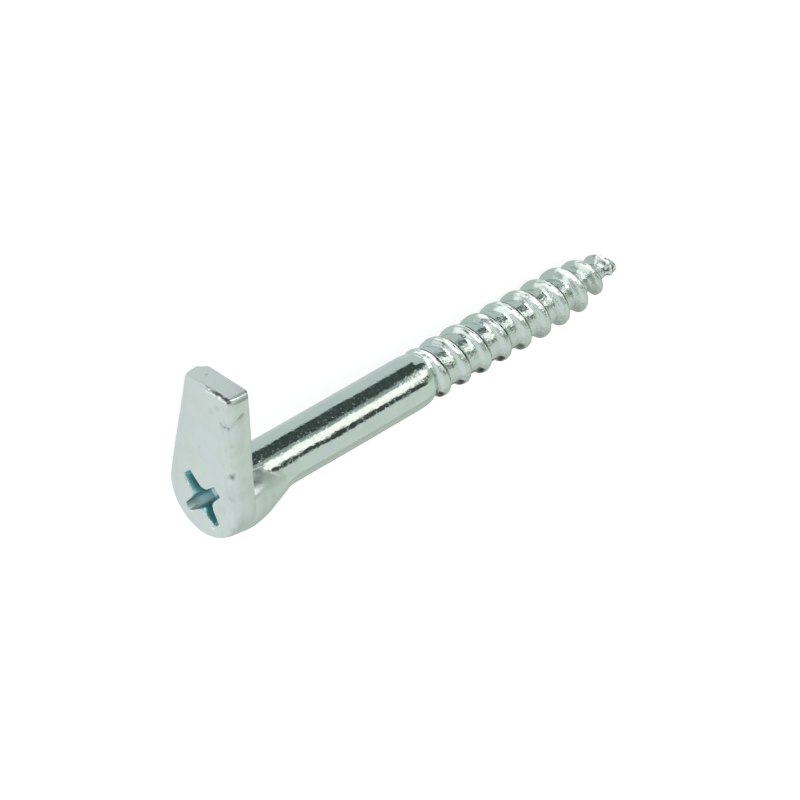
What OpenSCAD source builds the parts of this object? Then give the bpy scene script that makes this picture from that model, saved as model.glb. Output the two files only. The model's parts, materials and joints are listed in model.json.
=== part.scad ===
// Straight screw hook, cold forged in one piece from round steel bar.
// A flat, teardrop tab stands square on a round shank, which ends in a coarse wood thread.
// A cross recess in the front of the tab, in line with the shank, takes the screwdriver.
//
// The hook is drawn with its shank up +Z, the tab towards +X and the front of the tab at z = 0.
// It is then laid on its side, the way it comes to rest on a table: shank along +Y, tab towards -X.
// The low side of the tab and one of the last turns of the thread touch the table at z = 0.
// Millimetres throughout.

/* [Shank] */
// Diameter of the round bar
shank_d = 5.8; // [4.6:0.1:7]
// Length over all, from the front of the tab to the tip
overall_length = 59; // [48:1:80]
// From the front of the tab to the end of the plain shank
plain_length = 29.4; // [22:0.2:36]

/* [Tab] */
// From the shank's axis to the top of the tab
tab_height = 14; // [11:0.5:18]
// Width across the top of the tab
tab_top_width = 6.6; // [5:0.1:8.4]
// Thickness of the tab
tab_thickness = 2.65; // [2.2:0.05:3.5]
// Radius of the round bottom of the tab
tab_bottom_r = 4.9; // [4:0.1:6]
// How far the centre of the round bottom lies above the shank's axis
tab_bottom_lift = 0.75; // [0:0.05:1.5]
// Radius of the two corners at the top
tab_corner_r = 0.3; // [0.1:0.05:0.6]
// How far the front edge is rounded in from the sides
front_edge_in = 0.5; // [0.2:0.05:0.8]
// How far back along the sides that rounding runs
front_edge_deep = 1.6; // [0.8:0.1:1.7]
// Bevel on the back edge of the low side
low_bevel = 0.85; // [0.3:0.05:1.1]
// Bevel on the back edge of the high side and round the bottom
high_bevel = 0.35; // [0.1:0.05:0.8]

/* [Neck] */
// From the front of the tab to the shoulder, where the neck starts to narrow
neck_shoulder = 4.3; // [3.6:0.1:5.5]
// From the front of the tab to where the neck meets the shank
neck_end = 9.8; // [7:0.1:12]
// Step in from the rim of the tab to the neck
neck_step = 0.12; // [0.05:0.01:0.3]
// How far the flat top of the neck lies below the top of the shank
neck_top_drop = 0.3; // [0.1:0.05:0.8]

/* [Recess] */
// Span of the cross from wing tip to wing tip
recess_span = 5.9; // [4.4:0.1:7.1]
// Depth of the wings
recess_depth = 2.6; // [1.8:0.1:3.4]
// Slope of the wing tips from the axis, in degrees
recess_slope = 26; // [15:1:35]
// Width of a wing at its tip
wing_tip_w = 0.85; // [0.5:0.05:1.1]
// Width of a wing at the middle of the cross
wing_root_w = 1.9; // [1.2:0.05:2.3]
// Diameter of the round core at the face
recess_core_d = 3; // [2.2:0.1:3.6]
// How far the recess sits above the shank's axis
recess_lift = 0.25; // [0:0.05:0.6]

/* [Thread] */
// From one turn of the thread to the next
pitch = 2.95; // [2.2:0.05:3.6]
// Diameter over the crests
thread_d = 5.8; // [4.6:0.1:7]
// Diameter at the root
root_d = 4.4; // [3.2:0.1:4.5]
// Share of each half turn that is crest
crest_share = 0.12; // [0.05:0.01:0.25]
// Share of each half turn that is root
root_share = 0.32; // [0.15:0.01:0.45]
// From the end of the plain shank to the first crest, on the tab's side
first_crest = 1.1; // [0:0.05:2.2]
// Length over which the first groove sinks to its full depth
run_in = 1.2; // [0.6:0.1:2.4]
// Length of the tapered end
taper_length = 11; // [8:0.5:15]
// How the end tapers: 1 is a straight cone, and more is a rounder nose
taper_curve = 1.8; // [1:0.1:2.5]
// Diameter of the blunt tip
tip_d = 1.7; // [1.2:0.1:2.4]
// Height of the thread where it runs out at the tip
tip_crest = 0.6; // [0.3:0.05:0.9]

/* [Hidden] */

shank_r = shank_d / 2;
root_r = root_d / 2;
thread_r = thread_d / 2;
tip_r = tip_d / 2;
corner_out = tab_top_width / 2 - tab_corner_r;
corner_up = tab_height - tab_corner_r;
sliver = 0.01;
$fn = 64;

// The front rounding stops short of the bevels behind it, however thin the tab is.
front_run = min(front_edge_deep, tab_thickness - low_bevel - sliver);

// The neck starts inside the tab, where the bevel round the back of the tab begins.
// Its far end is a hair thinner than the shank and lies inside the shank's own end.
neck_start = tab_thickness - high_bevel;
neck_end_in = 0.03;
shank_lap = 0.5;

// The cutter for the recess stands this far out of the face, and its core ends in a small point.
cutter_out = 1;
core_floor_d = recess_core_d / 2;
core_point_d = 0.2;
core_point_deep = recess_core_d / 4;

// The tab and the thread are each skinned over a stack of rings of points.
// The rounding of the front edge is a quarter ellipse in a few steps.
rounding_steps = 4;
corner_steps = 3;
bottom_steps = 40;

// The first ring of the thread is sunk in the end of the shank.
ring_sides = 30;
rings_per_turn = 9;
thread_sink = 1;
start_step = 0.02;
taper_start = overall_length - taper_length;
ring_count = ceil((overall_length - plain_length) / pitch * rings_per_turn);
ring_step = (overall_length - plain_length) / ring_count;

// Each side of the tab leans in by this angle, and its flat lies this far from the shank's axis.
side_lean = asin((tab_bottom_r - tab_corner_r) / norm([corner_up - tab_bottom_lift, corner_out]))
    - atan2(corner_out, corner_up - tab_bottom_lift);
side_reach = tab_bottom_r + tab_bottom_lift * sin(side_lean);

// Laid on its side, the hook touches the table at rest_back and at the crest it meets first.
rest_back = tab_thickness - high_bevel;
low_side = 270 + side_lean;
tip_down = min([for (i = [0:ring_count])
    let (z = plain_length + i * ring_step)
    atan((side_reach - thread_radius(z, low_side)) / (z - rest_back))]);

// The origin is under the middle of the hook, on the table.
reach_top = corner_up * cos(side_lean) + corner_out * sin(side_lean) + tab_corner_r;
reach_bottom = tab_bottom_r - tab_bottom_lift * cos(side_lean);
reach_front = (side_reach - front_edge_in) * sin(tip_down);
reach_tip = overall_length * cos(tip_down) + tip_r * sin(tip_down);
rest_place = [(reach_top - reach_bottom) / 2, (reach_front - reach_tip) / 2,
    side_reach * cos(tip_down) + rest_back * sin(tip_down)];

function ease(x) = let (c = max(0, min(1, x))) c * c * (3 - 2 * c);

// How much of the thread's height stands at height z and angle a: 1 on a crest and 0 in a root.
function crest_at(z, a) =
    let (turns = (z - plain_length - first_crest) / pitch - a / 360,
        off = abs(turns - round(turns)) * 2)
    1 - ease((off - crest_share) / (1 - crest_share - root_share));

function thread_radius(z, a) =
    let (taper = pow(max(0, (z - taper_start) / taper_length), taper_curve),
        low = root_r + (tip_r - root_r) * taper,
        high = thread_r + (tip_r + tip_crest - thread_r) * taper,
        full = low + (high - low) * crest_at(z, a),
        start = shank_r - start_step)
    start + (full - start) * ease((z - plain_length) / run_in);

function arc(x, y, r, from, to, steps, z) = [for (i = [0:steps])
    let (a = from + (to - from) * i / steps) [x + r * cos(a), y + r * sin(a), z]];

function thread_ring(z) = [for (j = [0:ring_sides - 1])
    let (a = j * 360 / ring_sides, r = thread_radius(z, a)) [r * cos(a), r * sin(a), z]];

// One level of the tab: high corner, round bottom and low corner, each drawn in by its own amount.
function tab_ring(z, in_bottom, in_low, in_high) = concat(
    arc(corner_up, corner_out - in_high, tab_corner_r, 0, 90 - side_lean, corner_steps, z),
    arc(tab_bottom_lift, 0, tab_bottom_r - in_bottom, 90 - side_lean, 270 + side_lean, bottom_steps, z),
    arc(corner_up, in_low - corner_out, tab_corner_r, 270 + side_lean, 360, corner_steps, z));

// A closed skin over a stack of rings that all have the same number of points.
module skin(rings) {
    sides = len(rings[0]);
    last = (len(rings) - 1) * sides;
    walls = [for (i = [0:len(rings) - 2], j = [0:sides - 1])
        let (a = i * sides + j, b = i * sides + (j + 1) % sides)
        each [[a, a + sides, b], [b, a + sides, b + sides]]];
    bottom = [for (j = [0:sides - 1]) j];
    top = [for (j = [sides - 1:-1:0]) last + j];
    polyhedron([for (r = rings) each r], concat([bottom], walls, [top]));
}

module tab() {
    front = [for (i = [0:rounding_steps])
        let (turn = 90 * i / rounding_steps, inset = front_edge_in * (1 - sin(turn)))
        tab_ring(front_run * (1 - cos(turn)), inset, inset, inset)];
    back = [tab_ring(tab_thickness - low_bevel, 0, 0, 0),
        tab_ring(tab_thickness - high_bevel, 0, low_bevel - high_bevel, 0),
        tab_ring(tab_thickness, high_bevel, low_bevel, high_bevel)];
    skin(concat(front, back));
}

// The neck leaves the rim of the tab below and at the sides only, so its top is cut flat.
module neck() {
    hull() {
        translate([0, 0, neck_start]) linear_extrude(neck_shoulder - neck_start) intersection() {
            translate([tab_bottom_lift, 0]) circle(tab_bottom_r - neck_step);
            translate([-tab_bottom_r, -tab_bottom_r])
                square([tab_bottom_r + shank_r - neck_top_drop, 2 * tab_bottom_r]);
        }
        translate([0, 0, neck_end - sliver]) cylinder(h = sliver, r = shank_r - neck_end_in);
    }
}

// The true round shank starts where the neck has come down to it.
module shank() {
    translate([0, 0, neck_end - shank_lap]) cylinder(h = plain_length - neck_end + shank_lap, r = shank_r);
}

// Right-hand wood thread on a core that tapers to a blunt tip.
module thread() {
    sunk = arc(0, 0, root_r, 0, 360 - 360 / ring_sides, ring_sides - 1, plain_length - thread_sink);
    skin(concat([sunk], [for (i = [0:ring_count]) thread_ring(plain_length + i * ring_step)]));
}

// One wing pair: its outline in the face, cut off at the sloping ends.
module wings() {
    half = recess_span / 2;
    half_deep = half - recess_depth * tan(recess_slope);
    intersection() {
        translate([0, 0, -cutter_out]) linear_extrude(recess_depth + cutter_out)
            polygon([[-half, -wing_tip_w / 2], [0, -wing_root_w / 2], [half, -wing_tip_w / 2],
                [half, wing_tip_w / 2], [0, wing_root_w / 2], [-half, wing_tip_w / 2]]);
        rotate([90, 0, 0]) linear_extrude(wing_root_w + 2 * sliver, center = true)
            polygon([[-half, 0], [-half, -cutter_out], [half, -cutter_out], [half, 0],
                [half_deep, recess_depth], [-half_deep, recess_depth]]);
    }
}

module recess() {
    translate([recess_lift, 0, 0]) {
        for (a = [45, 135]) rotate(a) wings();
        translate([0, 0, -cutter_out]) cylinder(h = cutter_out + sliver, d = recess_core_d);
        cylinder(h = recess_depth, d1 = recess_core_d, d2 = core_floor_d);
        translate([0, 0, recess_depth - sliver])
            cylinder(h = core_point_deep, d1 = core_floor_d, d2 = core_point_d);
    }
}

module screw_hook() {
    color("#c9d1d0")
        translate(rest_place) rotate([-90 - tip_down, 0, 0]) rotate(180 - side_lean) difference() {
            union() {
                tab();
                neck();
                shank();
                thread();
            }
            recess();
        }
}

screw_hook();
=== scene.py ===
import json
import math

import bpy
import numpy as np
from mathutils import Matrix, Vector, noise


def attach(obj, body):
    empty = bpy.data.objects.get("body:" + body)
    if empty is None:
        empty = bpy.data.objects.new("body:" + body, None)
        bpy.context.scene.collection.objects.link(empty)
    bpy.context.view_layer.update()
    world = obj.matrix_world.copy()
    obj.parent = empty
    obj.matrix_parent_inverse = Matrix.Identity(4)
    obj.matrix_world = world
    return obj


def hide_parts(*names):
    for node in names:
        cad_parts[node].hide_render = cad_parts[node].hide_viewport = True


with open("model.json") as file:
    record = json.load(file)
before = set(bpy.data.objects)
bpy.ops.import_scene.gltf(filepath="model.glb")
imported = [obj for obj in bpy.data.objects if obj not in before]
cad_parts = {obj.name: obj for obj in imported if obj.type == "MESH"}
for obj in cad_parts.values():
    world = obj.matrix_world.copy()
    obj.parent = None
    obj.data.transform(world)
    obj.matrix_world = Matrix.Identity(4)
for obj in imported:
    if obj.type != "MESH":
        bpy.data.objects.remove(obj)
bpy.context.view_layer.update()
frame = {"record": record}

print("frame loaded")

# The hook is drawn as in its CAD source: u is the way the tab points, w the side of the tab that faces up
# and s runs along the shank, from 0 at the front of the tab to the tip. All in mm until a mesh is made.
mmToMetres = 0.001

tab = {
    "height": 14.0,
    "topWidth": 6.6,
    "thickness": 2.65,
    "bottomRadius": 4.9,
    "bottomLift": 0.75,
    "cornerRadius": 0.3,
    "frontIn": 0.5,  # how far the front edge is rounded in
    "frontDeep": 1.75,  # and how far back that rounding runs
    "lowBevel": 0.85,
    "highBevel": 0.35,
    "topLean": 0.29,  # the top of the tab leans this far to the high side
    "leanFrom": 2.0,
    "faceCentre": (0.25, -0.05),
    "faceHole": 0.02,  # the innermost ring of the face, as a share of its rim
    "closeFrom": 0.9,  # from this share of the rim on, the rings lie closer
}

neck = {
    "shoulder": 4.3,  # where it starts to slope in, away from the tab's side
    "end": 9.8,  # and where it has become the shank
    "nearEnd": 6.5,  # on the tab's side it ends here instead
    "nearSlope": 0.42,  # after a slope that is this share of the other side's
    "nearTurn": (50.0, 104.0),  # the one becomes the other between these angles from the tab's side
    "flareTurn": (36.0, 76.0),  # and between these the neck leaves the shank's outline for the tab's
    "shoulderSoft": 0.35,  # how much the two ends of the slope are rounded
    "endSoft": 0.12,
    "proud": 0.2,  # the metal has spread past the tab's outline here, low on the high side
    "proudDepth": (1.2, 3.4),  # fully so from the second of these depths on
    "proudTurn": (80.0, 120.0),  # it starts between these angles from the tab's side
    "proudBack": (195.0, 150.0),  # and ends between these
    "closeTo": 7.4,  # the rings lie closer up to here
    "ringsTo": 10.5,  # and its own rings end here
}

shank = {
    "radius": 2.9,
    "plainLength": 29.4,
    "length": 59.0,
    "evenedBy": 16.0,  # from here on the mesh columns are evenly spaced round the shank
    # place, and how far the shank has bowed there
    "bend": ((3.0, 0.0), (9.0, -0.03), (20.0, -0.065), (28.0, -0.05), (34.0, 0.0)),
}

thread = {
    "pitch": 2.965,
    "firstEdge": 1.6,  # past the end of the plain shank, on the tab's side
    "edgeReach": 0.2,  # up to this share of a pitch past an edge, a place still belongs to its ridge
    # one ridge: mm from its edge on the tip's side, and share of its full height
    "ridge": ((-1.4, 0.0), (-1.22, 0.08), (-0.97, 0.76), (-0.82, 0.97), (-0.45, 1.04), (-0.12, 0.92),
              (0.0, 0.7), (0.12, 0.3), (0.28, 0.07), (0.42, 0.0)),
    "ridgeSoft": 0.1,  # the corners of that line are rounded over this
    "runIn": 1.2,  # it grows to its full height over this
    "shoulderFrom": 28.0,  # the plain shank is rounded over from here
    "shoulderDrop": 0.13,
    # place along the shank, and radius there
    "crests": ((46.0, 2.93), (48.6, 2.88), (51.7, 2.82), (53.6, 2.5), (55.0, 2.15), (56.6, 1.87),
               (57.4, 1.55), (58.0, 1.0), (58.5, 0.86), (59.0, 0.66)),
    "roots": ((38.0, 2.4), (47.0, 2.22), (51.0, 1.97), (54.6, 1.2), (57.0, 0.92), (58.4, 0.8), (59.0, 0.55)),
    # place along the shank, and how far the tip has bent off the axis there
    "wander": ((47.0, 0.0), (50.0, 0.09), (55.5, 0.23), (57.2, 0.25), (58.2, 0.24), (59.0, 0.0)),
    "wanderWay": (0.67, -0.74),
    "tipCut": 0.48,  # the tip is cut off at a slant, shorter on the side it wanders to
    "tipCutFrom": -0.88,
    "tipShort": 0.1,
    "tipFlat": 0.97,  # how nearly flat that cut is
    "tipDome": 0.06,
}

# How fine the mesh is: points of a ring along each part of the tab's outline, which in all are a multiple
# of 3, rings along each stretch of the hook, and rings for each turn of the thread.
columns = {"top": 80, "corner": 8, "side": 96, "bottom": 96}
ringCounts = {"face": 52, "rim": 15, "front": 13, "lowBevel": 4, "highBevel": 5, "neckFoot": 9, "neck": 28,
              "neckEnd": 12, "evening": 9, "plain": 10, "shoulder": 9, "perTurn": 28}
sharpFrom = 38.0  # an edge stays crisp where two faces meet at more degrees than this


def ease(x):
    c = np.clip(x, 0.0, 1.0)
    return c * c * (3 - 2 * c)


def rise(x, start, end):  # goes smoothly from 0 at the start to 1 at the end, whichever is higher
    return ease((x - start) / (end - start))


def valueAt(line, place):  # reads a line of places and values
    return np.interp(place, *zip(*line))


def noiseAt(x, y, z):  # smooth noise at many points at once
    return np.array([noise.noise(Vector(point)) for point in zip(*np.broadcast_arrays(x, y, z))])


# where the frame says the hook lies
mounts = {m["name"]: m for m in frame["record"]["mounts"]}
alongAxis = np.array(mounts["shank"]["axis"])
upAxis = np.array(mounts["hook_seat"]["axis"])
sideAxis = np.cross(alongAxis, upAxis)
frontPoint = np.array(mounts["thread"]["pos_m"]) - alongAxis * shank["plainLength"] * mmToMetres


def toFrame(points):  # (u, w, s) in mm to the frame's metres
    p = np.asarray(points, float) * mmToMetres
    return frontPoint + p[..., 0:1] * upAxis + p[..., 1:2] * sideAxis + p[..., 2:3] * alongAxis


def toHook(points):  # the frame's metres back to (u, w, s) in mm
    p = (np.asarray(points, float) - frontPoint) / mmToMetres
    return np.stack([p @ upAxis, p @ sideAxis, p @ alongAxis], -1)


# The hook's surface is built as rings of points, from the middle of the tab's face to the tip.
def arc(cu, cw, radius, start, end, count):  # count points, the last one left to the next stretch
    a = np.radians(start + (end - start) * np.arange(count) / count)
    return np.stack([cu + radius * np.cos(a), cw + radius * np.sin(a)], 1)


def straight(a, b, count):
    t = (np.arange(count) / count)[:, None]
    return np.array(a) * (1 - t) + np.array(b) * t


def tabRing(s, inBottom, inLow, inHigh):  # the tab's outline at depth s, drawn in on each side as given
    r = tab["cornerRadius"]
    up = tab["height"] - r
    out = tab["topWidth"] / 2 - r
    lift = tab["bottomLift"] - up
    lean = math.degrees(math.asin((tab["bottomRadius"] - r) / math.hypot(lift, out)) - math.atan2(out, -lift))
    lowOut, highOut = inLow - out, out - inHigh
    bottomRadius = tab["bottomRadius"] - inBottom
    lowCorner = arc(up, lowOut, r, 270 + lean, 360, columns["corner"])
    highCorner = arc(up, highOut, r, 0, 90 - lean, columns["corner"])
    bottom = arc(tab["bottomLift"], 0, bottomRadius, 90 - lean, 270 + lean, columns["bottom"])
    highEnd = (up + r * math.sin(math.radians(lean)), highOut + r * math.cos(math.radians(lean)))
    lowEnd = arc(tab["bottomLift"], 0, bottomRadius, 270 + lean, 360, columns["corner"])[0]
    ring = np.concatenate([
        straight((up + r, lowOut), (up + r, highOut), columns["top"]),
        highCorner,
        straight(highEnd, bottom[0], columns["side"]),
        bottom,
        straight(lowEnd, lowCorner[0], columns["side"]),
        lowCorner,
    ])
    return np.column_stack([ring, np.full(len(ring), float(s))])


def roundedRing(turn):  # the front edge is a quarter ellipse, turn running from 0 at the face to 90
    inset = tab["frontIn"] * (1 - math.sin(math.radians(turn)))
    return tabRing(tab["frontDeep"] * (1 - math.cos(math.radians(turn))), inset, inset, inset)


def faceRows():  # from the middle of the face out to its rim, with the closest rings at the rim
    rim = roundedRing(0)
    centre = np.array([*tab["faceCentre"], 0.0])
    inner = np.linspace(tab["faceHole"], tab["closeFrom"], ringCounts["face"])
    outer = np.linspace(tab["closeFrom"], 1.0, ringCounts["rim"])[1:-1]
    return [centre + (rim - centre) * share for share in np.concatenate([inner, outer])]


def proudness(angle):  # 1 where the neck stands proud of the tab, and 0 elsewhere
    turned = np.degrees(angle) % 360
    return rise(turned, *neck["proudTurn"]) * rise(turned, *neck["proudBack"])


def proudAt(s):
    return neck["proud"] * rise(s, *neck["proudDepth"])


def spread(ring, inset=0.0):  # moves a ring out over the neck's proud side
    angle = np.arctan2(ring[:, 1], ring[:, 0])
    out = (inset + proudAt(ring[:, 2])) * proudness(angle)
    moved = ring.copy()
    moved[:, 0] += out * np.cos(angle)
    moved[:, 1] += out * np.sin(angle)
    return moved


def rimRows():
    wall, low, high = tab["thickness"], tab["lowBevel"], tab["highBevel"]
    front = [spread(roundedRing(turn)) for turn in np.linspace(0, 90, ringCounts["front"])]
    back = []
    for share in np.linspace(0, 1, ringCounts["lowBevel"]):  # the low side's bevel starts first, as a slope
        inset = (low - high) * share
        back.append(spread(tabRing(wall - low + inset, 0, inset, 0)))
    for turn in np.radians(np.linspace(0, 90, ringCounts["highBevel"])[1:]):  # then all sides are rounded in
        inset = high * (1 - math.cos(turn))
        depth = wall - high * (1 - math.sin(turn))
        back.append(spread(tabRing(depth, inset, low - high + inset, inset), inset))
    return front + back


def neckRows(backRing):
    angle = np.arctan2(backRing[:, 1], backRing[:, 0])
    reach = np.hypot(backRing[:, 0], backRing[:, 1])
    off = np.degrees(np.abs(angle))
    flare = rise(off, *neck["flareTurn"])
    away = rise(off, *neck["nearTurn"])
    end = neck["nearEnd"] + (neck["end"] - neck["nearEnd"]) * away
    slope = (neck["end"] - neck["shoulder"]) * (neck["nearSlope"] + (1 - neck["nearSlope"]) * away)
    unwrapped = np.unwrap(angle)
    even = np.arange(len(backRing)) / len(backRing) * 2 * math.pi
    even = even + (unwrapped - even).mean()
    wall = tab["thickness"]

    def ring(s, radius, evened=0.0):
        a = unwrapped * (1 - evened) + even * evened
        return np.column_stack([radius * np.cos(a), radius * np.sin(a), np.full(len(a), float(s))])

    def neckRadius(s):
        fall = smoothMin((end - s) / slope, 1.0, neck["shoulderSoft"])
        fall = -smoothMin(-fall, 0.0, neck["endSoft"])
        proud = (proudAt(s) - proudAt(wall)) * proudness(angle)
        return shank["radius"] + (reach + proud - shank["radius"]) * flare * np.clip(fall, 0, 1)

    foot = neckRadius(wall)
    shares = np.linspace(0, 1, ringCounts["neckFoot"])[1:]
    rows = [ring(wall, reach + (foot - reach) * share) for share in shares]
    places = np.concatenate([
        np.linspace(wall, neck["closeTo"], ringCounts["neck"])[1:],
        np.linspace(neck["closeTo"], neck["ringsTo"], ringCounts["neckEnd"])[1:],
    ])
    rows += [ring(s, neckRadius(s)) for s in places]
    for s in np.linspace(neck["ringsTo"], shank["evenedBy"], ringCounts["evening"])[1:]:
        rows.append(ring(s, shank["radius"], float(rise(s, neck["ringsTo"], shank["evenedBy"]))))
    return rows, even


def smoothMin(a, b, soft):  # the lower of a and b, with the corner between them rounded
    h = np.clip(0.5 + 0.5 * (b - a) / soft, 0, 1)
    return b * (1 - h) + a * h - soft * h * (1 - h)


def ridgePlace(s, angle):  # mm past the edge of the nearest ridge of the thread
    turns = (s - shank["plainLength"] - thread["firstEdge"]) / thread["pitch"] - angle / (2 * math.pi)
    return (turns - np.ceil(turns - thread["edgeReach"])) * thread["pitch"]


def ridgeHeight(past):  # averaged over a short way, which rounds the corners of the ridge's line
    shifts = np.linspace(-thread["ridgeSoft"], thread["ridgeSoft"], 9)
    return np.mean([valueAt(thread["ridge"], past + shift) for shift in shifts], axis=0)


def threadRadius(s, angle):
    high, low = valueAt(thread["crests"], s), valueAt(thread["roots"], s)
    full = low + (high - low) * ridgeHeight(ridgePlace(s, angle))
    shoulder = (s - thread["shoulderFrom"]) / (shank["plainLength"] - thread["shoulderFrom"])
    plain = shank["radius"] - thread["shoulderDrop"] * max(shoulder, 0) ** 2
    return plain + (full - plain) * ease((s - shank["plainLength"]) / thread["runIn"])


def threadRows(angle):
    plainEnd, tipEnd = shank["plainLength"], shank["length"]
    count = int((tipEnd - plainEnd) / thread["pitch"] * ringCounts["perTurn"])
    places = np.concatenate([
        np.linspace(shank["evenedBy"], thread["shoulderFrom"], ringCounts["plain"])[1:],
        np.linspace(thread["shoulderFrom"], plainEnd, ringCounts["shoulder"])[1:],
        np.linspace(plainEnd, tipEnd, count + 1)[1:],
    ])
    wayUp, wayAside = thread["wanderWay"]
    rows = []
    for s in places:
        radius = threadRadius(s, angle)
        wander = valueAt(thread["wander"], s)
        across = radius * (np.cos(angle) * wayUp + np.sin(angle) * wayAside)
        cut = tipEnd - thread["tipShort"] - thread["tipCut"] * (across - thread["tipCutFrom"])
        rows.append(np.column_stack([
            radius * np.cos(angle) + wayUp * wander,
            radius * np.sin(angle) + wayAside * wander,
            s - np.maximum(s - cut, 0) * thread["tipFlat"],
        ]))
    last = rows[-1]
    middle = last.mean(0)
    for share in (0.8, 0.5, 0.2):  # closes the blunt end
        rows.append(middle + (last - middle) * share + np.array([0, 0, thread["tipDome"] * (1 - share)]))
    return rows


def skin(rows):  # joins the rings; a ring may have a third of the points of the one before
    points = np.concatenate(rows)
    faces = []
    start = 0
    for a, b in zip(rows[:-1], rows[1:]):
        n, m = len(a), len(b)
        nextStart = start + n
        if n == m:
            for j in range(n):
                k = (j + 1) % n
                faces.append((start + j, start + k, nextStart + k, nextStart + j))
        else:
            for j in range(m):
                k = (j + 1) % m
                first, second, third, fourth = (start + (3 * j + i) % n for i in range(4))
                faces.append((first, second, nextStart + j))
                faces.append((second, third, nextStart + k, nextStart + j))
                faces.append((third, fourth, nextStart + k))
        start = nextStart
    caps = [rows[0].mean(0), rows[-1].mean(0)]
    points = np.concatenate([points, caps])
    lastStart = start
    n, m = len(rows[0]), len(rows[-1])
    faces += [((j + 1) % n, j, len(points) - 2) for j in range(n)]
    faces += [(lastStart + j, lastStart + (j + 1) % m, len(points) - 1) for j in range(m)]
    return points, faces


marks = {  # what forging, shearing and use have left on it
    "burrHeight": 0.34,  # the lip that the shear has left on the front top edge
    "burrMiddle": 0.15,
    "burrLow": 1.5,  # it runs out this far to the low side, and this far to the high side
    "burrHigh": 0.35,
    "edgeDepth": 0.35,  # the lip and the chip fade out over this much depth, and this far down the face
    "edgeDrop": 0.6,
    "chipFrom": 0.35,  # the stretch where that lip has broken off
    "chipTo": 3.2,
    "chipStart": 0.25,  # how long the chip takes to reach its full size, and to end
    "chipStop": 0.4,
    "chipDepth": 0.176,
    "chipDepthRagged": 0.132,
    "chipBack": 0.12,
    "chipBackRagged": 0.1,
    "tabDepth": 2.4,  # dents and creases mark the tab down to here
    "sideDepth": (0.1, 0.5),  # past these depths a crease is cut into the high side and not the face
    "rolledFrom": 3.0,  # the shank and the thread are uneven from here on
    "unevenness": 0.035,
    "threadUnevenness": 0.09,
    "waves": ((0.6, 0.6), (1.7, 0.4)),  # waves in a mm, and their share of it
    "rollStretch": 0.25,  # the plain shank's are drawn out along it
}

dents = [  # u, w, s, radius and depth
    (5.62, 4.3, 0.1, 0.45, 0.2),
    (5.95, 4.6, 0.2, 0.3, 0.12),
    (5.25, 3.95, 0.05, 0.5, 0.12),
    (5.1, 3.7, 0.0, 0.35, 0.06),
    (13.95, -1.22, 1.56, 0.22, 0.1),
    (8.9, 4.1, 0.3, 0.5, 0.04),
    (2.6, 4.0, 0.0, 0.6, 0.035),
    (-1.2, 4.2, 0.1, 0.6, 0.03),
    (7.0, 4.15, 0.1, 0.25, 0.07),
    (6.45, -0.54, 0.0, 0.3, 0.03),
    (12.5, 1.9, 0.0, 0.6, 0.035),
    (11.7, 1.1, 0.0, 0.6, 0.02),
    (1.5, -2.3, 0.0, 0.2, -0.1),  # burrs round the recess stand up instead
    (1.17, -2.02, 0.0, 0.26, -0.1),
    (0.7, -1.6, 0.0, 0.26, -0.1),
    (-1.9, -1.5, 0.0, 0.26, -0.1),
    (-2.15, -1.75, 0.0, 0.2, -0.1),
    (-2.35, 1.6, 0.0, 0.26, -0.1),
]

creases = [  # a line of points (u, w, s), half its width and its depth
    (((10.65, 2.85, 0.0), (10.75, 3.3, 0.0), (10.95, 3.65, 0.1), (11.35, 3.8, 0.8), (11.95, 3.75, 1.7)),
     0.15, 0.16),
    (((10.95, 2.3, 0.0), (10.68, 2.8, 0.0)), 0.14, 0.08),
    (((11.25, 3.15, 0.0), (10.75, 3.3, 0.0)), 0.1, 0.06),
    (((10.4, 3.55, 0.0), (6.2, 3.95, 0.0), (1.0, 4.35, 0.0)), 0.12, 0.012),
]


def lineDistance(points, line):  # how far each point is from a line of points
    best = np.full(len(points), 1e9)
    for a, b in zip(line[:-1], line[1:]):
        a, b = np.array(a), np.array(b)
        t = np.clip(((points - a) @ (b - a)) / ((b - a) @ (b - a)), 0, 1)
        best = np.minimum(best, np.linalg.norm(points - (a + t[:, None] * (b - a)), axis=1))
    return best


def leanTop(p):
    onTab = p[:, 2] < tab["thickness"] + 0.01
    p[:, 1] += onTab * tab["topLean"] * rise(p[:, 0], tab["leanFrom"], tab["height"])


def shearTop(p):  # raises the lip along the front top edge, and breaks it off in the chip
    u, w, s = p.T.copy()
    onEdge = np.clip(1 - s / marks["edgeDepth"], 0, 1)
    onEdge *= rise(u, tab["height"] - marks["edgeDrop"], tab["height"])
    reach = np.where(w > marks["burrMiddle"], marks["burrHigh"], marks["burrLow"])
    lip = marks["burrHeight"] * np.exp(-((w - marks["burrMiddle"]) / reach) ** 2)
    inChip = rise(w, marks["chipFrom"], marks["chipFrom"] + marks["chipStart"])
    inChip *= rise(w, marks["chipTo"], marks["chipTo"] - marks["chipStop"])
    ragged = noiseAt(w * 3.1, 0.3, 7.7)
    p[:, 0] += (lip - (marks["chipDepth"] + marks["chipDepthRagged"] * ragged) * inChip) * onEdge
    p[:, 2] += (marks["chipBack"] + marks["chipBackRagged"] * ragged) * inChip * onEdge


def markTab(p):  # presses in the dents and creases, and lifts the burrs
    u, w = p[:, :2].T.copy()
    s = p[:, 2]  # follows each mark, so that marks that meet deepen each other
    onTab = s < marks["tabDepth"]
    for du, dw, ds, radius, depth in dents:
        away = np.sqrt((u - du) ** 2 + (w - dw) ** 2 + (s - ds) ** 2) / radius
        p[:, 2] += onTab * depth * np.exp(-2 * away ** 2)
    for line, half, depth in creases:
        away = lineDistance(np.column_stack([u, w, s]), line) / half
        hollow = onTab * depth * np.exp(-away ** 2)
        sideOn = rise(s, *marks["sideDepth"])
        p[:, 2] += hollow * (1 - sideOn)
        p[:, 1] -= hollow * sideOn * (w > 0)


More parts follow.
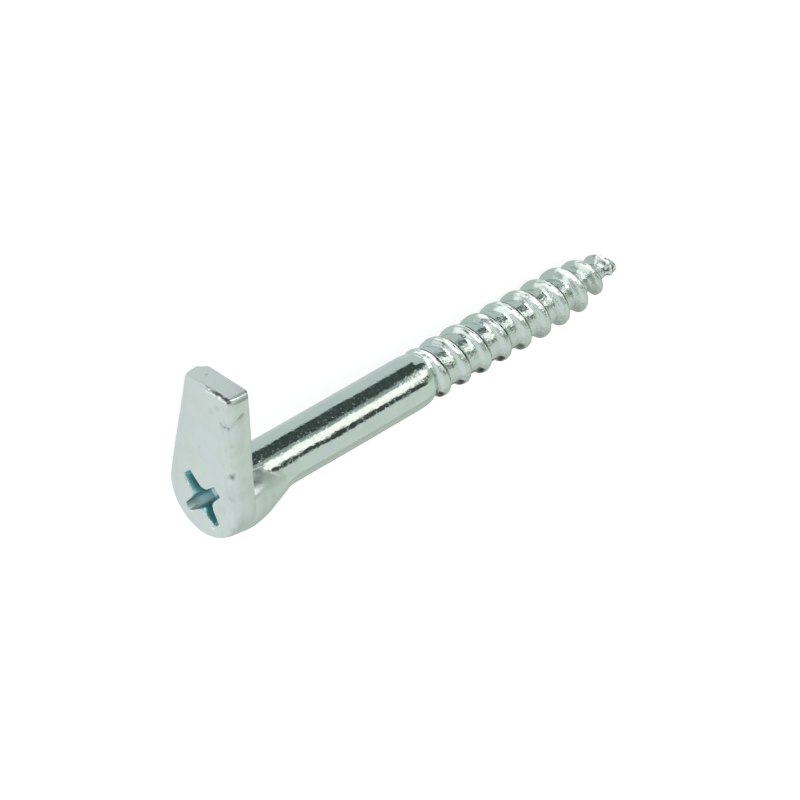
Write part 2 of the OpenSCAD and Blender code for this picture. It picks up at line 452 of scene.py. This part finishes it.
def rollUneven(p):  # draws the rolled surface in a little, more in some places than in others
    u, w, s = p.T.copy()
    along = s * np.where(s <= shank["plainLength"], marks["rollStretch"], 1.0)
    push = sum(share * noiseAt(u * scale, w * scale, along * scale) for scale, share in marks["waves"])
    most = np.where(s < shank["plainLength"] + 0.5, marks["unevenness"], marks["threadUnevenness"])
    reach = np.hypot(u, w)
    moved = (s > marks["rolledFrom"]) & (reach > 0.1)
    p[moved, :2] *= (1 - np.abs(push[moved]) * most[moved] / reach[moved])[:, None]


def worn(points):  # moves points of the surface to where forging, shearing and use have left them
    p = points.copy()
    leanTop(p)
    shearTop(p)
    markTab(p)
    rollUneven(p)
    p[:, :2] += valueAt(shank["bend"], p[:, 2])[:, None] * np.array(thread["wanderWay"])
    return p


recess = {  # the cross recess, cut into the face
    "lift": 0.25,
    "shift": -0.05,
    "depth": 2.6,
    "slope": 26.0,  # of a wing's end, to the shank's axis
    "web": 1.08,  # how far the webs between the wings stand off the middle, at the face and deep down
    "webDeep": 0.62,
    "webFade": 0.6,
    "halfDeep": 0.41,  # deep down, a wing is no wider than this to each side
    "fillet": 0.2,  # how soon a wing narrows from its webs
    "endCorner": 0.12,
    "edge": 0.06,  # how far the plated edge is rounded out
    "edgeEnd": 0.6,  # how much of a wing's length counts as its end
    "webPoint": 1.36,  # of the web's distance, its point being rounded off
    "tear": 0.035,  # how ragged the plating's edge is
    "tearDepth": 0.5,
    "tearScale": 2.6,  # tears in a mm
    "tearSeed": 5,
    # the depths of the cutter's rings, but for the last, which is as deep as the recess
    "rings": (-0.6, 0.0, 0.02, 0.04, 0.065, 0.1, 0.2, 0.35, 0.5, 0.75, 1.1, 1.5, 1.9, 2.3),
    "bottom": ((0.7, 0.15), (0.35, 0.4), (0.1, 0.6)),  # share of the last ring, and how far it lies under it
}

# Each wing at the face, from the one at the top on the high side: half its width at the end, how much that
# widens to the web, its reach, and how far its end leans.
wings = [
    {"half": 0.58, "widen": 0.10, "reach": 2.93, "lean": 0.0},
    {"half": 0.41, "widen": 0.36, "reach": 2.95, "lean": 0.0},
    {"half": 0.42, "widen": 0.2, "reach": 2.95, "lean": 0.0},
    {"half": 0.66, "widen": 0.12, "reach": 3.14, "lean": -0.03},
]


def wingSide(wing, depth, steps=12):  # half of a wing's outline at this depth, from web to middle of its end
    down = max(depth, 0.0)
    end = wing["reach"] - down * math.tan(math.radians(recess["slope"]))
    web = recess["webDeep"] + (recess["web"] - recess["webDeep"]) * math.exp(-down / recess["webFade"])
    half = min(wing["half"], recess["halfDeep"] + (wing["half"] - recess["halfDeep"]) * math.exp(-down))
    root = half + wing["widen"]
    corner = recess["endCorner"]
    side = []
    for i in range(steps):
        x = web + (end - corner - web) * (i / (steps - 1)) ** 1.3
        y = half + wing["widen"] * (1 - ((x - web) / (end - web)) ** 1.6)
        side.append((x, y + (max(web, root) - root) * math.exp(-(x - web) / recess["fillet"])))
    side[0] = (web, max(web, side[0][1]))
    return side + [(end - 0.3 * corner, half - 0.3 * corner), (end, half - corner), (end + 0.02, 0.0)]


def crossOutline(depth):
    down = max(depth, 0.0)
    grow = recess["edge"] * max(0.0, 1 - down / (1.5 * recess["edge"])) ** 2
    tear = recess["tear"] * max(0.0, 1 - down / recess["tearDepth"])
    points = []
    for index, wing in enumerate(wings):
        turn = math.radians(45 + 90 * index)
        side = wingSide(wing, depth)
        for x, y in [(x, -y) for x, y in side[1:-1]] + side[:0:-1]:
            x += grow * (x > wing["reach"] - recess["edgeEnd"])
            y += math.copysign(grow, y) * (abs(y) > 0.01)
            y += wing["lean"] * max(0.0, (x - recess["web"]) / wing["reach"]) ** 1.5 * math.exp(-down)
            place = Vector((x * recess["tearScale"], y * recess["tearScale"], index + 3.0))
            torn = noise.noise_vector(place) * tear
            x, y = x + torn.x, y + torn.y
            points.append((x * math.cos(turn) - y * math.sin(turn), x * math.sin(turn) + y * math.cos(turn)))
        web = side[0][1] * recess["webPoint"]
        points.append((web * math.cos(turn + math.pi / 4), web * math.sin(turn + math.pi / 4)))
    return np.array(points)


def recessCutter():
    noise.seed_set(recess["tearSeed"])  # noise_vector starts from the clock without one
    centre = np.array([recess["lift"], recess["shift"]])
    rows = []
    for depth in (*recess["rings"], recess["depth"]):
        ring = crossOutline(depth) + centre
        rows.append(np.column_stack([ring, np.full(len(ring), depth)]))
    last = rows[-1]
    for share, under in recess["bottom"]:
        ring = last.copy()
        ring[:, :2] = centre + (ring[:, :2] - centre) * share
        ring[:, 2] += under
        rows.append(ring)
    return skin(rows)


def meshObject(name, points, faces):
    mesh = bpy.data.meshes.new(name)
    mesh.from_pydata(toFrame(points).tolist(), [], faces)
    mesh.validate()
    obj = bpy.data.objects.new(name, mesh)
    bpy.context.scene.collection.objects.link(obj)
    return obj


def buildHook():
    front = rimRows()
    neckPart, even = neckRows(front[-1])
    rows = faceRows() + front + neckPart + threadRows(even[::3])  # a third of the columns go on from there
    points, faces = skin(rows)
    hook = meshObject("screwHook", worn(points), faces)
    cutter = meshObject("recessCutter", *recessCutter())
    cut = hook.modifiers.new("recess", "BOOLEAN")
    cut.operation = "DIFFERENCE"
    cut.solver = "EXACT"
    cut.object = cutter
    bpy.context.view_layer.objects.active = hook
    bpy.ops.object.modifier_apply(modifier=cut.name)
    bpy.data.objects.remove(cutter)
    mesh = hook.data
    mesh.polygons.foreach_set("use_smooth", [True] * len(mesh.polygons))
    mesh.set_sharp_from_angle(angle=math.radians(sharpFrom))
    return hook


hook = buildHook()
print("hook built:", len(hook.data.polygons), "faces")


def fade(distance, half, soft):  # 1 within half of a line, falling to 0 over soft
    return 1 - ease((distance - half) / soft)


def patches(field, level, contrast):  # where a noise is high, from 0 to 1
    return ease(level + contrast * field)


recessPaint = {
    "reach": 3.35,  # its colours stay this near its middle, less by the next for each mm of depth
    "taper": 0.45,
    "deep": 3.5,
    "pooledDepth": (0.03, 0.13),  # the blue-green comes in between these depths
    "rampEnd": 0.6,  # the paler floor runs out from here into the wing that points down on the low side
    "rampHalf": 0.5,
    "rampDepth": 0.1,
    "highlightStreak": (-0.42, 0.06, 0.1),  # a painted highlight along it: mm off its middle, half its width and how soft
    "foot": (-2.25, -2.55),  # painted shade at its far end
    "footShade": 0.45,
}


def paintRecess(u, w, s):
    up, aside = u - recess["lift"], w - recess["shift"]
    wingUp, wingAside = (up + aside) / math.sqrt(2), (up - aside) / math.sqrt(2)
    inside = np.hypot(up, aside) < recessPaint["reach"] - recessPaint["taper"] * s
    inside = inside * (s < recessPaint["deep"])
    pooled = inside * rise(s, *recessPaint["pooledDepth"])
    ramp = inside * (wingUp < recessPaint["rampEnd"]) * (np.abs(wingAside) < recessPaint["rampHalf"])
    ramp = ramp * (s > recessPaint["rampDepth"])
    # the streak is a painted highlight along the paler floor, the foot painted shade at its far end
    place, half, soft = recessPaint["highlightStreak"]
    highlightStreak = ramp * fade(np.abs(wingAside - place), half, soft)
    foot = ramp * rise(wingUp, *recessPaint["foot"]) * recessPaint["footShade"]
    return pooled, ramp, highlightStreak, foot


topPaint = {  # of a line or spot: how far it lies below the tab's top, half its width and how soft it is
    "edgeDepth": 0.5,
    "tornHighlightLine": (0.28, 0.04, 0.09),  # bare, torn metal in the chip, with a painted highlight
    "dirtAndShadeLine": (0.06, 0.03, 0.09),  # and dirt with painted shade over it, which is strongest at the high side
    "dirtAndShadeAcross": (-0.6, 1.9),
    "dirtAndShade": 0.9,
    "endSpot": (0.2, 0.08, 0.14),  # a darker spot where the chip ends
    "endDarkening": 0.8,
    "cornerSpot": (0.2, 0.3, 0.25),  # and painted shade on the bevel at the top of the high side
    "cornerDepth": (0.1, 2.6),
    "cornerShade": 0.6,
}


def paintTop(u, w, s, ragged):
    below = tab["height"] - u
    inChip = (s < topPaint["edgeDepth"]) * (w > marks["chipFrom"]) * (w < marks["chipTo"] + 0.2)
    # the torn line is bare metal with a painted highlight; the line, end and corner below darken it as dirt
    # and painted shade
    place, half, soft = topPaint["tornHighlightLine"]
    torn = inChip * fade(np.abs(below - place + 0.2 * ragged), half, soft) * patches(ragged, 0.9, 2.2)
    place, half, soft = topPaint["dirtAndShadeLine"]
    line = inChip * fade(np.abs(below - place + 0.1 * ragged), half, soft)
    line = line * rise(w, *topPaint["dirtAndShadeAcross"]) * topPaint["dirtAndShade"]
    drop, half, soft = topPaint["endSpot"]
    end = fade(np.hypot(w - marks["chipTo"] - 0.1, below - drop), half, soft) * (s < topPaint["edgeDepth"])
    drop, half, soft = topPaint["cornerSpot"]
    corner = fade(np.hypot(below - drop, tab["topWidth"] / 2 + 0.2 - w), half, soft) * patches(ragged, 0.6, 1)
    corner = corner * (s > topPaint["cornerDepth"][0]) * (s < topPaint["cornerDepth"][1])
    return torn, np.maximum.reduce([line, end * topPaint["endDarkening"], corner * topPaint["cornerShade"]])


sidePaint = {
    "blotchAcross": (1.4, 3.2),  # the blotches come in between these places across the tab
    "blotchDepth": 3.0,
    "blotchDarkening": 0.07,
    "creaseWidth": 0.3,  # painted shade in the creases: of half the crease's own width, and how dark one is for each mm of its depth
    "creaseDark": 9.0,
    "creaseShade": 0.5,
    "dentWidth": (0.2, 0.7),  # painted shade in the dents: of the dent's own radius, where it is full and how softly it ends
    "dentDark": 5.0,
    # the burrs are bare metal with a painted highlight: of a burr's radius, where that is full and how softly
    # it ends
    "burrWidth": (0.3, 0.5),
    "burrDepth": 0.05,
}


def paintSide(p, ragged, blotches):
    u, w, s = p.T
    dirtAndShade = rise(w, *sidePaint["blotchAcross"]) * (s < sidePaint["blotchDepth"]) * rise(blotches, -0.1, 0.5)
    dirtAndShade, bareAndHighlight = dirtAndShade * sidePaint["blotchDarkening"], np.zeros(len(p))
    # creases are darkened for their depth, as painted shade
    for line, half, depth in creases:
        spot = fade(lineDistance(p, line) + 0.12 * ragged, half * sidePaint["creaseWidth"], half)
        dirtAndShade = np.maximum(dirtAndShade, spot * min(1.0, depth * sidePaint["creaseDark"]) * sidePaint["creaseShade"])
    for du, dw, ds, radius, depth in dents:
        # dents are darkened with painted shade, and burrs are bare metal with a painted highlight
        if depth > 0:
            away = np.sqrt((u - du) ** 2 + (w - dw) ** 2 + (s - ds) ** 2) + 0.25 * ragged * radius
            full, soft = (share * radius for share in sidePaint["dentWidth"])
            dirtAndShade = np.maximum(dirtAndShade, fade(away, full, soft) * min(1.0, depth * sidePaint["dentDark"]))
        else:
            full, soft = (share * radius for share in sidePaint["burrWidth"])
            bareAndHighlight = np.maximum(bareAndHighlight, fade(np.hypot(u - du, w - dw), full, soft) * (s < sidePaint["burrDepth"]))
    return bareAndHighlight, dirtAndShade


shankPaint = {
    "polishFrom": 2.2,  # on the tab's side the shank is polished from here on, over the next length
    "polishOver": 0.8,
    # further round it starts later: the two angles in degrees between which that comes in, and how much later
    "polishLater": ((32, 40, 3.6), (54, 70, 2.2)),
    "polishReach": (4.0, 3.3),  # and nothing further off the axis than this is
    "neckStart": (2.6, 2.8),  # painted shade darkens the neck a little between these places and angles
    "neckStop": (7.4, 5.6),
    "neckTurn": (34, 42),
    "neckBack": (120, 80),
    "neckShade": 0.01,
    "neckShadeBlotches": 0.12,
}


def paintShank(u, w, s, blotches):
    off = np.abs(np.degrees(np.arctan2(w, u)))
    start = shankPaint["polishFrom"] + sum(late * rise(off, a, b) for a, b, late in shankPaint["polishLater"])
    polish = ease((s - start) / shankPaint["polishOver"]) * rise(np.hypot(u, w), *shankPaint["polishReach"])
    # painted shade on the neck
    onNeck = rise(s, *shankPaint["neckStart"]) * rise(s, *shankPaint["neckStop"])
    onNeck = onNeck * rise(off, *shankPaint["neckTurn"]) * rise(off, *shankPaint["neckBack"])
    return polish, onNeck * (shankPaint["neckShade"] + shankPaint["neckShadeBlotches"] * blotches)


threadPaint = {
    "startsOver": 0.3,
    # lines along a ridge, a painted shadow and a painted highlight: mm past its edge, half the width and how
    # soft it is
    "shadow": (-0.17, 0.1, 0.07),
    "lip": (-0.38, 0.03, 0.07),
    "lipHighlight": 0.9,
    # across a ridge, or a root for the painted shade in the notch: where it comes in and where it goes, in mm
    # past the edge
    "satin": ((-1.2, -0.9), (0.1, 0.0)),
    "highlightPatch": ((-1.4, -1.2), (0.1, 0.0)),
    "shadedNotch": ((-0.1, 0.1), (2.2, 1.95)),
    # arcs round the axis, in degrees from the tab's side: the middle, half the arc and how soft it is
    "linesTurn": (20, 34, 24),
    # the pale patches on the ridges are painted highlights
    "highlightPatchTurn": (4, 20, 9),
    "shadedNotchTurn": (130, 14, 5),
    "notchesEnd": (47.0, 41.0),  # towards the tip the painted shade in the notches fades out between these places
    "tipDarkFrom": (56.3, 57.1),  # and the darker and paler specks at the tip start
    "tipPaleFrom": (56.5, 57.3),
    "tipPale": 0.7,
}


def paintThread(u, w, s):
    angle = np.arctan2(w, u)
    past = ridgePlace(s, angle)
    inRoot = np.where(past < 0.1, past + thread["pitch"], past)
    streaks = noiseAt(past * 6, angle * 2.4, s * 0.4)
    specks = noiseAt(u * 2.6, w * 2.6, s * 2.6)
    rolled = ease((s - shank["plainLength"]) / threadPaint["startsOver"])

    def line(name, wobble=0.0):
        place, half, soft = threadPaint[name]
        return rolled * fade(np.abs(past - place + wobble), half, soft)

    def across(name, place):
        comeIn, goOut = threadPaint[name]
        return rolled * rise(place, *comeIn) * rise(place, *goOut)

    def turn(name):
        middle, half, soft = threadPaint[name]
        return fade(np.abs(np.degrees(angle) - middle), half, soft)

    # the shadow line and the notch are painted shade, the lip and the pale patches painted highlights
    shadow = line("shadow", 0.12 * streaks) * turn("linesTurn") * patches(specks, 1.1, 1.5)
    lip = line("lip") * turn("linesTurn") * patches(specks, 0.6, 3) * threadPaint["lipHighlight"]
    highlightPatch = across("highlightPatch", past) * turn("highlightPatchTurn") * patches(streaks, 0.7, 2.6)
    shadedNotch = across("shadedNotch", inRoot) * turn("shadedNotchTurn") * rise(s, *threadPaint["notchesEnd"])
    tipDark = rise(s, *threadPaint["tipDarkFrom"]) * rise(specks, 0.16, 0.26)
    tipPale = rise(s, *threadPaint["tipPaleFrom"]) * rise(specks, -0.1, -0.2) * threadPaint["tipPale"]
    return (rolled, across("satin", past), np.maximum.reduce([lip, highlightPatch, tipPale]),
            np.maximum.reduce([shadow, shadedNotch, tipDark]))


def paintHook(obj):  # where the plating is pooled, bare, dirty or polished, where highlights and shade are painted on it, and each point's own place in mm
    mesh = obj.data
    co = np.empty(len(mesh.vertices) * 3, np.float32)
    mesh.vertices.foreach_get("co", co)
    p = toHook(co.reshape(-1, 3).astype(float))
    u, w, s = p.T
    ragged = noiseAt(w * 2.3, u * 2.3, 1.3)
    blotches = noiseAt(u * 0.8, w * 1.6, s * 1.1 + 4)
    pooled, ramp, highlightStreak, footShade = paintRecess(u, w, s)
    topBareAndHighlight, topDirtAndShade = paintTop(u, w, s, ragged)
    sideBareAndHighlight, sideDirtAndShade = paintSide(p, ragged, blotches)
    polish, neckShade = paintShank(u, w, s, blotches)
    rolled, satin, threadHighlightsAndSpecks, threadShadeAndSpecks = paintThread(u, w, s)
    masks = {"pooled": pooled, "ramp": ramp, "polish": polish, "rolled": rolled, "satin": satin,
             "bareAndHighlight": np.maximum.reduce([highlightStreak, topBareAndHighlight, sideBareAndHighlight, threadHighlightsAndSpecks]),
             "grimeAndShade": np.maximum.reduce([footShade, topDirtAndShade, sideDirtAndShade, neckShade, threadShadeAndSpecks])}
    for name, value in masks.items():
        layer = mesh.attributes.new(name, "FLOAT", "POINT")
        layer.data.foreach_set("value", value.astype(np.float32))
    layer = mesh.attributes.new("place", "FLOAT_VECTOR", "POINT")
    layer.data.foreach_set("vector", p.astype(np.float32).ravel())


paintHook(hook)
print("marks painted")


def srgb(text):  # "#rrggbb" to linear red, green, blue and alpha
    parts = [int(text[i:i + 2], 16) / 255 for i in (1, 3, 5)]
    return (*(c / 12.92 if c <= 0.04045 else ((c + 0.055) / 1.055) ** 2.4 for c in parts), 1.0)


def addNode(tree, kind, sockets=None, **settings):  # a socket takes a value or another node's output
    node = tree.nodes.new(kind)
    for name, value in settings.items():
        setattr(node, name, value)
    for name, value in (sockets or {}).items():
        if isinstance(value, bpy.types.NodeSocket):
            tree.links.new(value, node.inputs[name])
        else:
            node.inputs[name].default_value = value
    return node


zinc = {
    "shankColour": "#c3cecb",
    "tabColour": "#c6d1cd",
    "greenTint": "#bfd2c6",
    "blueTint": "#c8d0da",
    "pooledColour": "#98c6ca",  # passivation that has pooled in the recess
    "rampColour": "#c0dde2",
    # the next two are for bare metal and painted highlights, and for dirt and painted shade
    "bareAndHighlightColour": "#f6f9f8",
    "grimeAndShadeColour": "#262e2d",
    "shankRoughness": 0.07,
    "tabRoughness": 0.4,
    "speckRoughness": 0.3,
    "rootRoughness": 0.2,
    "satinRoughness": 0.22,
    "bareAndHighlightRoughness": 0.8,
    "grainSize": 0.24,  # mm, as the next sizes and heights
    "grainHeight": 0.013,
    "pitSize": 0.7,
    "pitHeight": 0.002,
    "threadPitHeight": 0.11,  # of the thread's, which rolling has left far coarser
    "cloudSize": 2.4,
    "cloudDepth": 0.03,  # how much paler or darker the clouds make the colour
    "tintRange": (0.45, 0.75),  # of the clouds' noise
    "tintMost": 0.6,
    "speckRange": (0.51, 0.72),  # of the grain's noise
    "rollStretch": 1.6,  # the grain is this much longer along the shank than across it
}


# Bright zinc plate, passivated clear blue, on cold-forged steel: a pale grey-green metal, satin on the forged
# tab and brighter on the rolled shank. Its crystalline grain is drawn coarser than the real one, to show.
def zincPlate():
    material = bpy.data.materials.new("zincPlate")
    material.use_nodes = True
    tree = material.node_tree
    tree.nodes.clear()
    mask = {name: addNode(tree, "ShaderNodeAttribute", attribute_name=name).outputs["Fac"]
            for name in ("pooled", "ramp", "bareAndHighlight", "grimeAndShade", "polish", "rolled", "satin")}
    place = addNode(tree, "ShaderNodeAttribute", attribute_name="place").outputs["Vector"]
    drawn = addNode(tree, "ShaderNodeVectorMath", {0: place, 1: (1, 1, 1 / zinc["rollStretch"])},
                    operation="MULTIPLY").outputs[0]
    grain = addNode(tree, "ShaderNodeTexNoise", {
        "Vector": drawn, "Scale": 1 / zinc["grainSize"], "Detail": 2.0, "Roughness": 0.6}).outputs["Fac"]
    pits = addNode(tree, "ShaderNodeTexNoise", {
        "Vector": drawn, "Scale": 1 / zinc["pitSize"], "Detail": 3.0, "Roughness": 0.65}).outputs["Fac"]
    clouds = addNode(tree, "ShaderNodeTexNoise", {
        "Vector": place, "Scale": 1 / zinc["cloudSize"], "Detail": 5.0, "Roughness": 0.62})
    hues = addNode(tree, "ShaderNodeSeparateXYZ", {0: clouds.outputs["Color"]})
    speckFrom, speckTo = zinc["speckRange"]
    mask["speck"] = addNode(tree, "ShaderNodeMapRange", {
        "Value": grain, "From Min": speckFrom, "From Max": speckTo}).outputs["Result"]
    tintFrom, tintTo = zinc["tintRange"]
    for name, channel in (("green", "X"), ("blue", "Y")):
        mask[name] = addNode(tree, "ShaderNodeMapRange", {
            "Value": hues.outputs[channel], "From Min": tintFrom, "From Max": tintTo,
            "To Max": zinc["tintMost"]}).outputs["Result"]

    # the pale and the dark masks mix in painted highlights and painted shade as well as bare metal and dirt
    colour = srgb(zinc["tabColour"])
    for name, over in (("polish", "shankColour"), ("green", "greenTint"), ("blue", "blueTint"),
                       ("pooled", "pooledColour"), ("ramp", "rampColour"), ("bareAndHighlight", "bareAndHighlightColour"),
                       ("grimeAndShade", "grimeAndShadeColour")):
        colour = addNode(tree, "ShaderNodeMix", {"Factor": mask[name], 6: colour, 7: srgb(zinc[over])},
                         data_type="RGBA").outputs[2]
    depth = addNode(tree, "ShaderNodeMapRange", {
        "Value": clouds.outputs["Fac"], "From Min": 0.3, "From Max": 0.7,
        "To Min": 1 - zinc["cloudDepth"], "To Max": 1 + zinc["cloudDepth"]}).outputs["Result"]
    colour = addNode(tree, "ShaderNodeVectorMath", {0: colour, "Scale": depth}, operation="SCALE").outputs[0]

    roughness = zinc["tabRoughness"]
    for name, over in (("polish", "shankRoughness"), ("speck", "speckRoughness"),
                       ("rolled", "rootRoughness"), ("satin", "satinRoughness"), ("bareAndHighlight", "bareAndHighlightRoughness")):
        roughness = addNode(tree, "ShaderNodeMix", {
            "Factor": mask[name], 2: roughness, 3: zinc[over]}).outputs[0]

    pitDepth = addNode(tree, "ShaderNodeMapRange", {
        "Value": mask["rolled"], "To Min": zinc["pitHeight"] * mmToMetres,
        "To Max": zinc["threadPitHeight"] * mmToMetres}).outputs["Result"]
    pitted = addNode(tree, "ShaderNodeBump", {
        "Height": pits, "Strength": 1.0, "Distance": pitDepth}).outputs["Normal"]
    grained = addNode(tree, "ShaderNodeBump", {
        "Height": grain, "Strength": 1.0, "Distance": zinc["grainHeight"] * mmToMetres,
        "Normal": pitted}).outputs["Normal"]
    shader = addNode(tree, "ShaderNodeBsdfPrincipled", {
        "Base Color": colour, "Metallic": 1.0, "Roughness": roughness, "Normal": grained})
    addNode(tree, "ShaderNodeOutputMaterial", {"Surface": shader.outputs["BSDF"]})
    return material


hook.data.materials.clear()
hook.data.materials.append(zincPlate())
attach(hook, "root")
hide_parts("screw_hook")
print("material ready")


studio = {
    "floorSize": 1.2,  # metres
    "floorColour": "#939393",
    "floorGlow": 0.82,
    "worldLevel": 0.9,
    "overFloor": 0.0001,  # metres
}

# Flags and softboxes round the shank, which only its reflections show. Each runs between two angles round the
# shank, counted from the tab's side, where its edges are seen in the stretch given, and stands at a distance.
seenFrom = 42.3  # the camera's own place round the shank, by the same count
plainLean = (0.54, 0.88)  # how far along a reflection runs for each mm it runs away from the shank
threadLean = (0.71, 0.88)  # the thread's own cards stand nearer, and start where the shank's reflections end
cards = {
    "darkFlag": {"angles": (6.3, 31), "distance": 400, "stretch": (0, 28.2), "colour": "#47524d"},
    "flagEdge": {"angles": (31, 38.5), "distance": 405, "stretch": (0, 60), "colour": "#acb8b1"},
    "softbox": {"angles": (38.5, 53.5), "distance": 400, "stretch": (0, 60),
                "colour": "#fffaf3", "glow": 1.65},
    "thinFlag": {"angles": (54, 63), "distance": 400, "stretch": (0, 60), "colour": "#47524d"},
    "threadFlag": {"angles": (14, 29), "distance": 80, "stretch": (30.5, 60), "lean": threadLean,
                   "colour": "#4a5650"},
    "threadEdge": {"angles": (29, 32), "distance": 80, "stretch": (30.5, 60), "lean": threadLean,
                   "colour": "#acb8b1"},
    "threadBox": {"angles": (32, 47), "distance": 80, "stretch": (30.5, 60), "lean": threadLean,
                  "colour": "#fffaf3", "glow": 1.8},
    "threadThin": {"angles": (47.5, 56), "distance": 80, "stretch": (30.5, 60), "lean": threadLean,
                   "colour": "#66726b"},
    "dimWall": {"angles": (38, 63), "distance": 450, "stretch": (0, 60), "lean": (-0.8, 2.5),
                "colour": "#c4d0c0"},
    "leftGlow": {"angles": (25, 42), "distance": 380, "stretch": (30, 35), "lean": (-0.3, 0.35),
                 "colour": "#ffffff", "glow": 5.5},
    "highWall": {"angles": (63, 96), "distance": 60, "stretch": (-20, 90), "colour": "#eff5ec"},
    "farWall": {"angles": (96, 118), "distance": 60, "stretch": (-20, 90), "colour": "#d2d7ce"},
}
cardColumns = 9  # points along a card's arc

# Boards beside the shank and past its tip, between the ends given in mm, which only reflections show as well.
boards = {
    "topSide": {"x": (-90, -8), "y": (-29, 6), "z": (0.05, 0.05), "colour": "#f0f2f1"},
    "tabSide": {"x": (-8, 4.6), "y": (-29, 6), "z": (0.05, 0.05), "colour": "#e2ebe7"},
    "rootSide": {"x": (-30, 4.6), "y": (6, 110), "z": (0.05, 0.05), "colour": "#dbe5df"},
    "farSide": {"x": (8, 60), "y": (-14, 110), "z": (0.05, 0.05), "colour": "#b6bcb5"},
    "pastTip": {"x": (-120, 170), "y": (110, 330), "z": (0.05, 0.05), "colour": "#b9c3b3"},
    "endWall": {"x": (-140, 200), "y": (330, 330), "z": (0, 140), "colour": "#cbd2c1"},
}


def glowingCard(name, hexColour, glow=1.0):  # evenly lit from behind, so it looks the same from all sides
    material = bpy.data.materials.new(name)
    material.use_nodes = True
    tree = material.node_tree
    tree.nodes.clear()
    shader = addNode(tree, "ShaderNodeEmission", {"Color": srgb(hexColour), "Strength": glow}).outputs[0]
    addNode(tree, "ShaderNodeOutputMaterial", {"Surface": shader})
    return material


def whiteBoard():  # the floor, a white board lit from below, whose light only the camera and reflections see
    material = bpy.data.materials.new("whiteBoard")
    material.use_nodes = True
    tree = material.node_tree
    tree.nodes.clear()
    light = addNode(tree, "ShaderNodeLightPath")
    seen = addNode(tree, "ShaderNodeMath", {
        0: light.outputs["Is Camera Ray"], 1: light.outputs["Is Glossy Ray"]}, operation="MAXIMUM").outputs[0]
    glow = addNode(tree, "ShaderNodeMath", {0: seen, 1: studio["floorGlow"]}, operation="MULTIPLY").outputs[0]
    board = addNode(tree, "ShaderNodeBsdfDiffuse", {"Color": srgb(studio["floorColour"])}).outputs[0]
    below = addNode(tree, "ShaderNodeEmission", {"Color": (1, 1, 1, 1), "Strength": glow}).outputs[0]
    both = addNode(tree, "ShaderNodeAddShader", {0: board, 1: below}).outputs[0]
    addNode(tree, "ShaderNodeOutputMaterial", {"Surface": both})
    return material


def addPanel(name, points, material, faces=((0, 1, 2, 3),)):
    mesh = bpy.data.meshes.new(name)
    mesh.from_pydata(points, [], faces)
    panel = bpy.data.objects.new(name, mesh)
    bpy.context.scene.collection.objects.link(panel)
    mesh.materials.append(material)
    return panel


def addFloor():
    half = studio["floorSize"] / 2
    addPanel("floor", [(-half, -half, 0), (half, -half, 0), (half, half, 0), (-half, half, 0)], whiteBoard())


def onlyReflected(panel):
    panel.visible_camera = False
    panel.visible_diffuse = False
    panel.visible_shadow = False
    panel.visible_transmission = False


def addCard(name, card):
    ends = []
    for angle in np.linspace(*card["angles"], cardColumns):
        at, away = math.radians(angle), math.radians(2 * angle - seenFrom)
        for place, lean in zip(card["stretch"], card.get("lean", plainLean)):
            start, end = toFrame([(shank["radius"] * math.cos(at) + distance * math.cos(away),
                                   shank["radius"] * math.sin(at) + distance * math.sin(away),
                                   place + lean * distance) for distance in (0, card["distance"])])
            if end[2] < 0:  # stops just over the floor
                end = start + (end - start) * (start[2] - studio["overFloor"]) / (start[2] - end[2])
            ends.append(end.tolist())
    faces = [(i, i + 1, i + 3, i + 2) for i in range(0, len(ends) - 2, 2)]
    onlyReflected(addPanel(name, ends, glowingCard(name, card["colour"], card.get("glow", 1.0)), faces))


def addBoard(name, board):
    (left, right), (near, far), (low, high) = (np.array(board[k]) * mmToMetres for k in "xyz")
    corners = [(left, near, low), (right, near, low), (right, far, high), (left, far, high)]
    onlyReflected(addPanel(name, corners, glowingCard(name, board["colour"])))


def addWorld():
    world = bpy.data.worlds.new("studio")
    bpy.context.scene.world = world
    world.use_nodes = True
    tree = world.node_tree
    tree.nodes.clear()
    light = addNode(tree, "ShaderNodeLightPath")
    shown = addNode(tree, "ShaderNodeMath", {
        0: light.outputs["Is Camera Ray"], 1: light.outputs["Is Glossy Ray"]}, operation="MAXIMUM").outputs[0]
    plain = addNode(tree, "ShaderNodeBackground", {"Color": (1, 1, 1, 1), "Strength": studio["worldLevel"]})
    seen = addNode(tree, "ShaderNodeBackground", {"Color": (1, 1, 1, 1), "Strength": 1.0})
    both = addNode(tree, "ShaderNodeMixShader", {0: shown, 1: plain.outputs[0], 2: seen.outputs[0]})
    addNode(tree, "ShaderNodeOutputWorld", {"Surface": both.outputs[0]})


addFloor()
for cardName, card in cards.items():
    addCard(cardName, card)
for boardName, board in boards.items():
    addBoard(boardName, board)
addWorld()


camera = {
    "lens": 199.3,  # mm, as the distance and the target
    "distance": 430.0,
    "target": (-4.55, -11.46, 12.33),
    "azimuth": -50.144,
    "elevation": 29.637,
    "roll": 130.017,
    "nearest": 0.01,  # metres
}


def addCamera():
    data = bpy.data.cameras.new("camera")
    data.lens = camera["lens"]
    data.clip_start = camera["nearest"]
    obj = bpy.data.objects.new("camera", data)
    bpy.context.scene.collection.objects.link(obj)
    azimuth, elevation = math.radians(camera["azimuth"]), math.radians(camera["elevation"])
    back = Vector((math.sin(azimuth) * math.cos(elevation), -math.cos(azimuth) * math.cos(elevation),
                   math.sin(elevation)))
    target = Vector(camera["target"])
    upright = back.to_track_quat("Z", "Y").to_matrix()
    turned = upright @ Matrix.Rotation(math.radians(camera["roll"]), 3, "Z")
    obj.matrix_world = Matrix.Translation((target + back * camera["distance"]) * mmToMetres) @ turned.to_4x4()
    bpy.context.scene.camera = obj


addCamera()
bpy.context.scene.view_settings.view_transform = "Standard"
print("studio ready")
